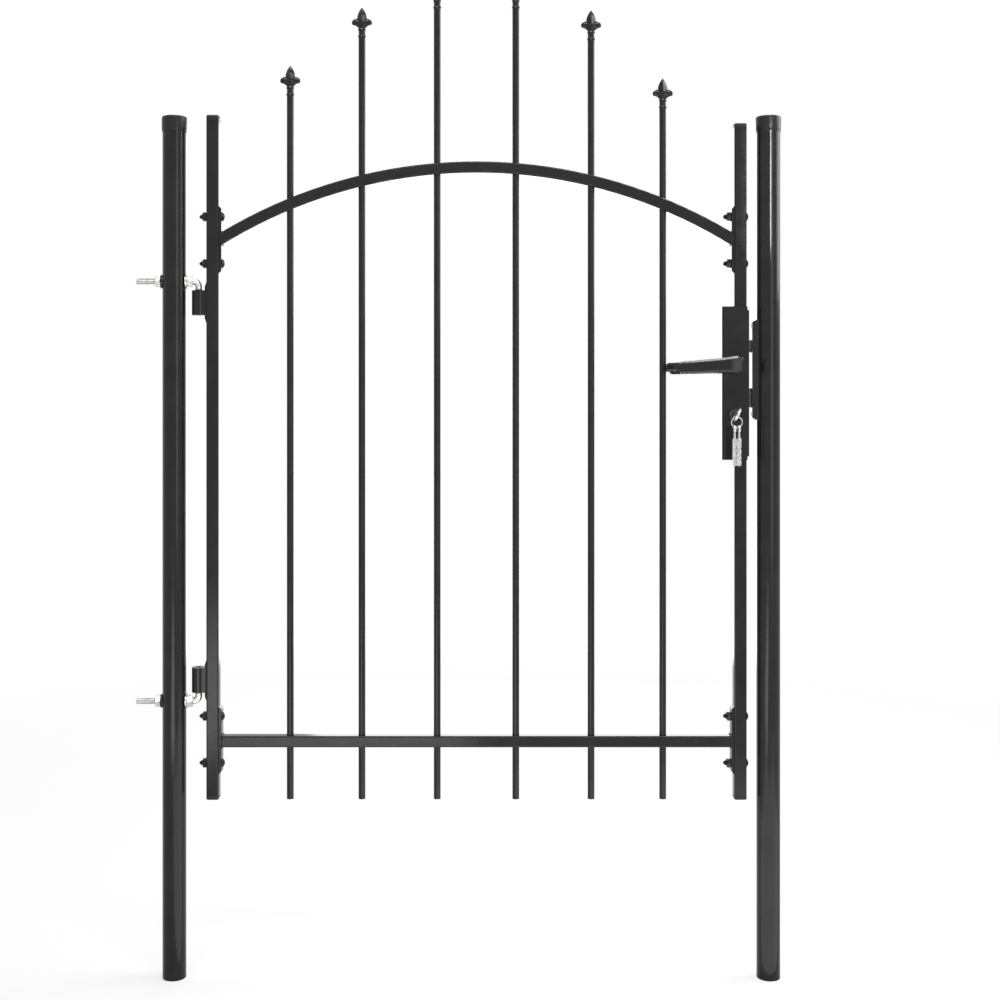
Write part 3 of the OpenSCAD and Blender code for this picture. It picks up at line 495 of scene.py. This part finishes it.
# Angle turned in degrees, upper edge, lower edge and half thickness
LEVER_BEND = [
    [0, 3.9, -12.1, 4.4], [6, 3.8, -11.6, 4.4], [13, 3.65, -10.4, 4.4], [21, 3.5, -9.3, 4.4],
    [30, 3.4, -8.9, 4.4], [40, 3.3, -8.7, 4.4], [52, 3.2, -8.6, 4.4]]
LEVER_BEND_X, LEVER_BEND_Y, LEVER_BEND_R = -82.4, -42.6, 5.4
LEVER_TIP = [[-93.5, -37.2, 3.2, -8.6, 4.4], [-97.3, -32.3, 3.1, -8.5, 4.3], [-97.6, -31.9, 2.7, -8.1, 3.9]]
LEVER_CHAMFER_SHARE = 0.6
# Radius and distance from the leaf's middle
LEVER_NECK = [[0, 14], [8, 14], [8, 33], [8.2, 36], [8.9, 39.5], [9.8, 42.2], [10, 43.2], [9.4, 44.6],
              [7.6, 45.8], [0, 46.2]]


def lever_handle(x, z, side):
    """Lever: an eight-sided section carried along the plan path hub, bar, bend and slanted return, its upper
    edge falling from the hub to the tip; a turned neck with a flared end joins it to the rose."""
    bar = through(LEVER_BAR, 4)
    table = np.array(LEVER_BEND)
    bend = np.radians(table[:, 0])
    turn_x = LEVER_BEND_X - LEVER_BEND_R * np.sin(bend)
    turn_y = LEVER_BEND_Y - LEVER_BEND_R * np.cos(bend)
    turn = np.column_stack([turn_x, turn_y, table[:, 1:]])
    path = np.vstack([bar, turn, LEVER_TIP])
    heading = np.pi - np.concatenate([np.zeros(len(bar)), bend, np.full(len(LEVER_TIP), bend[-1])])
    top, low, half = path[:, 2], path[:, 3], path[:, 4]
    cut = LEVER_CHAMFER_SHARE * half
    u = np.stack([half, half, half - cut, cut - half, -half, -half, cut - half, half - cut], -1)
    v = np.stack([low + cut, top - cut, top, top, top - cut, low + cut, low, low], -1)
    centres = np.stack([path[:, 0], path[:, 1], 0 * top], -1)
    across = np.stack([-np.sin(heading), np.cos(heading), 0 * top], -1)
    handle = lidded(carry(centres, across, [0, 0, 1], np.stack([u, v], -1)))
    shells = [handle, moved(lathe(LEVER_NECK), facing="front")]
    return [moved(shell, (x, 0, z), mirror="y" if side > 0 else None) for shell in shells]


spindle_low, spindle_high = box_mm("lever_spindle")
lock_x = (spindle_low[0] + spindle_high[0]) / 2
lever_z = (spindle_low[2] + spindle_high[2]) / 2
for place, side in (("front", -1), ("rear", 1)):
    piece(f"lever_handle_{place}", lever_handle(lock_x, lever_z, side), "black_coat", "lever",
          [f"{place}_lever"], bevel=0.45)


# Cylinder rims and keys

BEAD_MID_R, BEAD_HALF_W, BEAD_H, CASE_FACE = 9.6, 0.9, 2.0, 14
KEY_LEAN = 25
KEY_HOLE = 4.4
BOW_D, BOW_T, BOW_Y, BOW_HOLE_AT = 22, 3.0, -34, [-6, -3.2]
STEM_W, STEM_T, STEM_L, STEM_Y, STEM_CUTS, STEM_CUT_DEPTH = 8, 2.1, 36, 27, (0.62, 0.75, 0.88), 1.2
RING_WIRE, RING_RUN = 1.6, 0.99
SPARE_D, SPARE_T, SPARE_HOLE_AT, SPARE_APART = 11, 3.0, [0, 1.7], 3.2
SPARE_BLADE_W, SPARE_CUT_DEPTH = 6, 0.7
# A spare blade starts SPARE_BLADE_TOP below the head's middle, and its length is the drop from
# that middle to the solid's foot less SPARE_BLADE_LESS
SPARE_BLADE_TOP, SPARE_BLADE_LESS = 12.5, 9.5
SPARE_NECK_W, SPARE_NECK_R, SPARE_NECK_ENDS = 2.8, 0.5, (-4.4, -15)
SPARE_CUTS = {-1: (0.35, 0.55, 0.85), 1: (0.4, 0.62, 0.8)}


def leaned(shell, angle, place):
    """Shell turned about the front-to-back axis by an angle in degrees, its top to the right, then moved."""
    c, s = math.cos(math.radians(angle)), math.sin(math.radians(angle))
    p = shell[0]
    return np.stack([c * p[:, 0] + s * p[:, 2], p[:, 1], c * p[:, 2] - s * p[:, 0]], -1) + place, shell[1]


def drilled_disc(d, t, hole, off, n=64):
    """Flat disc in the YZ plane with a hole off its middle: rows lie a share q of the way from rim to hole,
    at (1 - q) rim + q hole, with both edges eased."""
    a = np.linspace(0, TURN, n, endpoint=False)
    circle = np.stack([np.cos(a), np.sin(a)], -1)
    rim, bore = circle * d / 2, circle * hole / 2 + off
    face = np.array([[0, 0.3], [0.06, 0.5], [0.9, 0.5], [1, 0.35]])
    rows = np.vstack([[0, -0.3], face, face[:0:-1] * [1, -1]])
    q, x = rows[:, :1, None], rows[:, 1:]
    flat = rim * (1 - q) + bore * q
    return skin(np.stack([x * t + 0 * a, flat[..., 0], flat[..., 1]], -1), closed=True)


def key_blade(w, t, length, cuts, depth):
    """Blade hanging down from the origin: a flat section with a groove on both faces carried down its
    length; the right edge is cut back by depth times a smooth step for each cut."""
    cut_share, tip_share, shoulder_share, groove_share, groove_half_share = 0.045, 0.06, 0.1, 0.2, 0.16
    edge = 0.35
    s = np.linspace(0, 1, 60)
    bite = sum(np.exp(-((s - place) / cut_share)**4) for place in cuts) * depth
    end = np.sqrt(np.clip(1 - np.clip((s - 1 + tip_share) / tip_share, 0, 1)**2, 0.02, 1))
    shoulder = 0.4 + 0.6 * np.sin(np.clip(s / shoulder_share, 0, 1) * np.pi / 2)
    left = -w / 2 * end * shoulder
    right = (w / 2 - bite) * end * shoulder
    mid = np.full(len(s), w * groove_half_share)
    face_u = np.stack([left, left + edge, -mid, edge - mid, mid - edge, mid, right - edge, right], -1)
    u = np.clip(np.hstack([face_u, face_u[:, ::-1]]), left[:, None], np.maximum(right, left + 0.2)[:, None])
    h = np.full(len(s), t / 2)
    deep = h - t * groove_share
    face_v = np.stack([h - edge, h, h, deep, deep, h, h, h - edge], -1)
    v = np.hstack([face_v, -face_v[:, ::-1]]) * np.where(end < 0.99, 0.96, 1)[:, None]
    return lidded(stacked(-s * length, np.stack([u, v], -1)))


def split_ring(r, wire):
    """Split ring: an ellipse carried along two turns of a flat helix, r cos a, r sin a, whose ends are
    drawn to a point."""
    a = np.linspace(0, 2 * TURN * RING_RUN, 150)
    run = a / TURN - RING_RUN
    offset = wire * 0.25 * np.tanh(6 * run)
    out = np.stack([np.cos(a), 0 * a, np.sin(a)], -1)
    centres = out * r + np.stack([0 * a, offset, 0 * a], -1)
    ends = np.sqrt(np.clip(1 - np.abs(run / RING_RUN)**40, 0.1, 1))
    return lidded(carry(centres, [0, 1, 0], out, ellipse(ends * wire * 0.25, ends * wire * 0.42, 14)))


def rim_bead(x, z, side):
    """Ring round the cylinder's end: half an ellipse that stands on the case, turned round the
    cylinder's axis."""
    a = np.linspace(0, np.pi, 17)
    ring = lathe(np.stack([BEAD_MID_R - BEAD_HALF_W * np.cos(a), CASE_FACE + BEAD_H * np.sin(a)], -1), 64)
    return moved(moved(ring, facing="front"), (x, 0, z), mirror="y" if side > 0 else None)


cylinder_low, cylinder_high = box_mm("lock_cylinder")
cylinder_z = (cylinder_low[2] + cylinder_high[2]) / 2
piece("cylinder_rim_beads", [rim_bead(lock_x, cylinder_z, side) for side in (-1, 1)], "black_coat", "leaf",
      ["cylinder_rings"])
key_place = np.array([lock_x, 0, cylinder_z])
bow = moved(drilled_disc(BOW_D, BOW_T, KEY_HOLE, BOW_HOLE_AT), (0, BOW_Y, 0))
blade_points, blade_faces = key_blade(STEM_W, STEM_T, STEM_L, STEM_CUTS, STEM_CUT_DEPTH)
stem = np.stack([blade_points[:, 1], -blade_points[:, 2] - STEM_Y, blade_points[:, 0]], -1), blade_faces
piece("lock_key", [leaned(shell, KEY_LEAN, key_place) for shell in (bow, stem)],
      "bright_steel", "leaf", ["key"])
ring_low, ring_high = box_mm("key_ring")
ring_place = (ring_low + ring_high) / 2
ring_r = (ring_high[0] - ring_low[0] - RING_WIRE) / 2
key_loop = moved(split_ring(ring_r, RING_WIRE), ring_place)
piece("split_key_ring", [key_loop], "bright_steel", "leaf", ["key_ring"])
spare_low, spare_high = box_mm("spare_keys")
neck_outline = rounded_rectangle(SPARE_NECK_W, SPARE_T, SPARE_NECK_R)
spare_neck = lidded(stacked(np.array(SPARE_NECK_ENDS), neck_outline))
head_z = spare_high[2] - SPARE_D / 2
spare_shells = []
for side, cuts in SPARE_CUTS.items():
    head = np.array([ring_place[0] + SPARE_APART * side, ring_place[1], head_z])
    blade = key_blade(SPARE_BLADE_W, SPARE_T, head_z - SPARE_BLADE_LESS - spare_low[2], cuts, SPARE_CUT_DEPTH)
    spare_shells.append(moved(drilled_disc(SPARE_D, SPARE_T, KEY_HOLE, SPARE_HOLE_AT, 48), head))
    spare_shells.append(moved(spare_neck, head))
    spare_shells.append(moved(blade, head - [0, 0, SPARE_BLADE_TOP]))
piece("spare_key_pair", spare_shells, "bright_steel", "leaf", ["spare_keys"])


# Plates, caps and plugs

PLATE_CUT_SHARE = 0.04
CAP_BORE_R, CAP_TOP_T, CAP_RIM_R = 17.1, 2, 2.4
PLUG_W, PLUG_H, PLUG_STEM, PLUG_CORNER_R = 18, 6, 12, 2.1
# Width and height
PLUG_ROWS = [[14.6, -12], [14.8, -11.4], [14.8, 0.02], [17.7, 0.02], [18, 0.3], [18, 3.6], [17.7, 4.7],
             [16.9, 5.5], [15.5, 5.95], [9, 6.0]]


def end_plate(x_stile, x_rail, z, h, d):
    """Plate against a stile: a trapezium in the gate's plane, long side on the stile, carried along Y."""
    cut = h * PLATE_CUT_SHARE
    side = np.array([[x_stile, -h / 2], [x_stile, h / 2], [x_rail, h / 2 - cut], [x_rail, -h / 2 + cut]])
    rings = [np.stack([side[:, 0], np.full(4, y), side[:, 1] + z], -1) for y in (-d / 2, d / 2)]
    return lidded(np.stack(rings))


for name, node in (("arch_flanges", "arch_end_plates"), ("bottom_flanges", "bottom_end_plates")):
    low, high = box_mm(node)
    z, h, d = (low[2] + high[2]) / 2, high[2] - low[2], high[1] - low[1]
    plates = [end_plate(low[0], low[0] + PLATE_T, z, h, d), end_plate(high[0], high[0] - PLATE_T, z, h, d)]
    piece(name, plates, "black_coat", "leaf", [node], bevel=0.5)


def post_cap(x, top, r, h):
    """Push-on cap: a turned profile with a slightly crowned top, an eased rim and a lip drawn in
    at its foot."""
    rim = np.linspace(0, np.pi / 2, 8)
    edge = np.stack([r - CAP_RIM_R + CAP_RIM_R * np.cos(rim), h - 3.0 + CAP_RIM_R * np.sin(rim)], -1)
    inside = [[0, h - CAP_TOP_T], [CAP_BORE_R, h - CAP_TOP_T], [CAP_BORE_R, 0]]
    wall = [[CAP_BORE_R + 0.5, 0], [r - 0.35, 2.6], [r - 0.1, 3.3], [r, 4.2], [r, 12]]
    crown = [[r - 6, h - 0.25], [r - 11, h - 0.05], [0, h]]
    return moved(lathe(np.vstack([inside, wall, edge, crown]), 72), (x, 0, top - h))


for name, node in (("cap_on_hinge_post", "hinge_post_cap"), ("cap_on_latch_post", "latch_post_cap")):
    low, high = box_mm(node)
    cap = post_cap((low[0] + high[0]) / 2, high[2], (high[0] - low[0]) / 2, high[2] - low[2])
    piece(name, [cap], "black_plastic", "posts", [node])


def stile_plug(x, z, up):
    """Plug: rounded squares stacked along Z, a stem in the tube and a head with eased edges and
    a crowned top."""
    widths, heights = np.array(PLUG_ROWS).T
    squares = np.stack([rounded_rectangle(w, w, PLUG_CORNER_R * w / PLUG_W, 8) for w in widths])
    rings = stacked(up * heights, squares)
    return moved(skin(rings, [0, 0, -PLUG_STEM * up], [0, 0, PLUG_H * up]), (x, 0, z))


piece("stile_end_plugs", [stile_plug((low[0] + high[0]) / 2, z, up)
                          for low, high in ((stile_low, stile_high), (lock_low, lock_high))
                          for z, up in ((stile_low[2], -1), (high[2], 1))],
      "black_plastic", "leaf", ["stile_plugs"])


# Weld beads

RAIL_WELD_R, RAIL_WELD_D, RAIL_WELD_IN = 1.7, 15.9, 0.3
BOTTOM_WELD_H, ARCH_WELD_H, ARCH_WELD_Z = 16.0, 17.2, 10.2
SLEEVE_WELD_R, SLEEVE_WELD_Y, SLEEVE_WELD_SHORT, SLEEVE_WELD_OUT = 1.1, 7.6, 1.5, 0.3
CASE_WELD_R, CASE_WELD_Y, CASE_WELD_LEFT, CASE_WELD_RIGHT = 1.2, 9, 0.5, 1.5
CASE_SIDE_WELD_R, CASE_SIDE_WELD_Y = 1.3, 7
BEAD_STEP, BEAD_RIPPLE = 0.4, 1.6


def weld_bead(path, r):
    """Bead of weld: a circle carried along an open path, its radius swelling with |sin| of the length run,
    once for each ripple, and drawn in at both ends."""
    path = np.asarray(path, float)
    run = np.concatenate([[0], np.cumsum(np.linalg.norm(np.diff(path, axis=0), axis=1))])
    s = np.arange(0, run[-1], BEAD_STEP)
    centres = np.stack([np.interp(s, run, path[:, k]) for k in range(3)], -1)
    slope = np.gradient(centres, axis=0)
    slope /= np.linalg.norm(slope, axis=1, keepdims=True)
    hint = np.where(np.abs(slope[:, :1]) > 0.9, [[0, 0, 1.0]], [[1.0, 0, 0]])
    across = np.cross(slope, hint)
    across /= np.linalg.norm(across, axis=1, keepdims=True)
    swell = r * (0.85 + 0.15 * np.abs(np.sin(np.pi * s / BEAD_RIPPLE))) * (1 + 0.08 * np.sin(s * 0.7))
    swell *= np.sqrt(np.clip(np.minimum(s, s[-1] - s) / (2 * r), 0.1, 1))
    return skin(carry(centres, across, np.cross(slope, across), ellipse(swell, swell, 10)), path[0], path[-1])


def rail_weld(x, z, h):
    """Bead round a rail's end at x: a rectangle nearly as deep as the rail and h high, whose ends meet
    at the front."""
    y, up = RAIL_WELD_D / 2, h / 2
    loop = [[x, -y, z], [x, -y, z + up], [x, y, z + up], [x, y, z - up], [x, -y, z - up], [x, -y, z - 0.3]]
    return weld_bead(loop, RAIL_WELD_R)


rail_low, rail_high = box_mm("bottom_rail")
arch_foot = box_mm("arch_rail")[0][2]
case_low, case_high = box_mm("lock_case")
welds = []
for x in (rail_low[0] + RAIL_WELD_IN, rail_high[0] - RAIL_WELD_IN):
    welds.append(rail_weld(x, (rail_low[2] + rail_high[2]) / 2, BOTTOM_WELD_H))
    welds.append(rail_weld(x, arch_foot + ARCH_WELD_Z, ARCH_WELD_H))
for place in ("lower", "upper"):
    low, high = box_mm(f"{place}_hinge_sleeve")
    x = stile_low[0] - SLEEVE_WELD_OUT
    for y in (-SLEEVE_WELD_Y, SLEEVE_WELD_Y):
        ends = [[x, y, low[2] + SLEEVE_WELD_SHORT], [x, y, high[2] - SLEEVE_WELD_SHORT]]
        welds.append(weld_bead(ends, SLEEVE_WELD_R))
for z in (case_low[2], case_high[2]):
    for y in (-CASE_WELD_Y, CASE_WELD_Y):
        ends = [[lock_low[0] + CASE_WELD_LEFT, y, z], [lock_high[0] - CASE_WELD_RIGHT, y, z]]
        welds.append(weld_bead(ends, CASE_WELD_R))
    ends = [[lock_low[0], -CASE_SIDE_WELD_Y, z], [lock_low[0], CASE_SIDE_WELD_Y, z]]
    welds.append(weld_bead(ends, CASE_SIDE_WELD_R))
piece("frame_welds", welds, "black_coat", "leaf")


# Camera, light and floor, in metres

AMBIENT = 0.4
FLOOR_Z = -0.0003
FLOOR_COLOUR = (0.86, 0.86, 0.86, 1)
GATE_FOOT = (0.43, 0, 0)
# White share of the floor beside the gate and far from it, and the distances between which it grows
WHITE_NEAR, WHITE_FAR, NEAR, FAR = 0.65, 1.0, 0.4, 2.4


def studio_lamp(name, place, target, width, height, watts, spread=180):
    """Area lamp turned to its target and not seen by the camera; spread is its beam in degrees."""
    data = bpy.data.lights.new(name, "AREA")
    data.shape = "RECTANGLE"
    data.size, data.size_y = width, height
    data.energy = watts
    data.spread = math.radians(spread)
    lamp = bpy.data.objects.new(name, data)
    bpy.context.scene.collection.objects.link(lamp)
    lamp.location = place
    look = np.array(target, float) - np.array(place, float)
    yaw = math.atan2(look[0], look[1])
    pitch = math.atan2(look[2], math.hypot(look[0], look[1]))
    lamp.rotation_euler = (math.pi / 2 + pitch, 0, -yaw)
    lamp.visible_camera = False


def seen_rays(tree):
    """1 for camera, glossy and transmission rays and 0 for others: the largest of those three answers."""
    paths = tree.nodes.new("ShaderNodeLightPath")
    answer = paths.outputs["Is Camera Ray"]
    for kind in ("Is Glossy Ray", "Is Transmission Ray"):
        largest = tree.nodes.new("ShaderNodeMath")
        largest.operation = "MAXIMUM"
        tree.links.new(answer, largest.inputs[0])
        tree.links.new(paths.outputs[kind], largest.inputs[1])
        answer = largest.outputs[0]
    return answer


def studio_world():
    """White room: full white where it is seen, and the ambient level as light on the object."""
    world = bpy.data.worlds.new("white_studio")
    bpy.context.scene.world = world
    world.use_nodes = True
    tree = world.node_tree
    level = tree.nodes.new("ShaderNodeMapRange")
    level.inputs["To Min"].default_value = AMBIENT
    level.inputs["To Max"].default_value = 1.0
    background = tree.nodes["Background"]
    background.inputs["Color"].default_value = (1, 1, 1, 1)
    tree.links.new(seen_rays(tree), level.inputs["Value"])
    tree.links.new(level.outputs["Result"], background.inputs["Strength"])


def studio_paper():
    """Matt pale paper that keeps a shadow, mixed with plain white where it is seen: the white's share
    grows with the distance from the gate, so that the floor melts into the background."""
    paper = bpy.data.materials.new("studio_paper")
    paper.use_nodes = True
    tree = paper.node_tree
    tree.nodes.clear()
    matt = tree.nodes.new("ShaderNodeBsdfDiffuse")
    matt.inputs["Color"].default_value = FLOOR_COLOUR
    glow = tree.nodes.new("ShaderNodeEmission")
    places = tree.nodes.new("ShaderNodeTexCoord")
    from_gate = tree.nodes.new("ShaderNodeVectorMath")
    from_gate.operation = "DISTANCE"
    from_gate.inputs[1].default_value = GATE_FOOT
    fade = tree.nodes.new("ShaderNodeMapRange")
    growth = {"From Min": NEAR, "From Max": FAR, "To Min": WHITE_NEAR, "To Max": WHITE_FAR}
    for socket, value in growth.items():
        fade.inputs[socket].default_value = value
    share = tree.nodes.new("ShaderNodeMath")
    share.operation = "MULTIPLY"
    blend = tree.nodes.new("ShaderNodeMixShader")
    out = tree.nodes.new("ShaderNodeOutputMaterial")
    tree.links.new(places.outputs["Object"], from_gate.inputs[0])
    tree.links.new(from_gate.outputs["Value"], fade.inputs["Value"])
    tree.links.new(seen_rays(tree), share.inputs[0])
    tree.links.new(fade.outputs["Result"], share.inputs[1])
    tree.links.new(share.outputs[0], blend.inputs["Fac"])
    tree.links.new(matt.outputs["BSDF"], blend.inputs[1])
    tree.links.new(glow.outputs["Emission"], blend.inputs[2])
    tree.links.new(blend.outputs["Shader"], out.inputs["Surface"])
    return paper


studio_lamp("front_softbox", (1.92, -2.4, 1.1), (0.45, 0, 0.85), 0.9, 1.6, 12)
studio_lamp("crown_strip", (0.44, -1.7, 2.75), (0.44, 0, 1.1), 2.2, 0.3, 13, 90)
studio_lamp("post_strip", (0.922, -0.3, 1.19), (0.863, 0, 1.146), 0.035, 0.2, 0.018, 16)
studio_lamp("right_softbox", (2.5, 0.3, 1.85), (0.5, 0, 1.25), 1.6, 1.5, 38)
studio_lamp("top_strip", (0.55, 0.12, 2.5), (0.55, 0.05, 1.0), 1.5, 0.35, 16)
studio_lamp("lever_light", (1.0, -0.05, 2.3), (0.79, -0.04, 0.9), 0.35, 0.35, 0.27, 40)
studio_lamp("floor_card", (-0.05, -2.3, 0.02), (-0.05, -2.3, 2.0), 0.95, 2.2, 30)
studio_lamp("low_card", (0.88, -0.55, 0.005), (0.88, -0.55, 2.0), 1.64, 1.04, 9.3)
studio_lamp("back_softbox", (0.6, 2.1, 0.86), (0.5, 0, 0.84), 1.3, 1.6, 18)
studio_world()

floor_mesh = bpy.data.meshes.new("studio_floor")
floor_corners = [(x, y, FLOOR_Z) for x, y in ((-14, -14), (15, -14), (15, 14), (-14, 14))]
floor_mesh.from_pydata(floor_corners, [], [(0, 1, 2, 3)])
floor_mesh.materials.append(studio_paper())
floor = bpy.data.objects.new("studio_floor", floor_mesh)
bpy.context.scene.collection.objects.link(floor)

camera_data = bpy.data.cameras.new("photo_camera")
camera_data.sensor_width = 36
camera_data.lens = 49.88
camera_data.shift_x = 0.0235
camera_data.shift_y = -0.1005
camera = bpy.data.objects.new("photo_camera", camera_data)
camera.location = (0.439, -2.0136, 0.8387)
camera.rotation_euler = (math.pi / 2, 0, 0)
bpy.context.scene.collection.objects.link(camera)
bpy.context.scene.camera = camera
bpy.context.scene.view_settings.view_transform = "Standard"
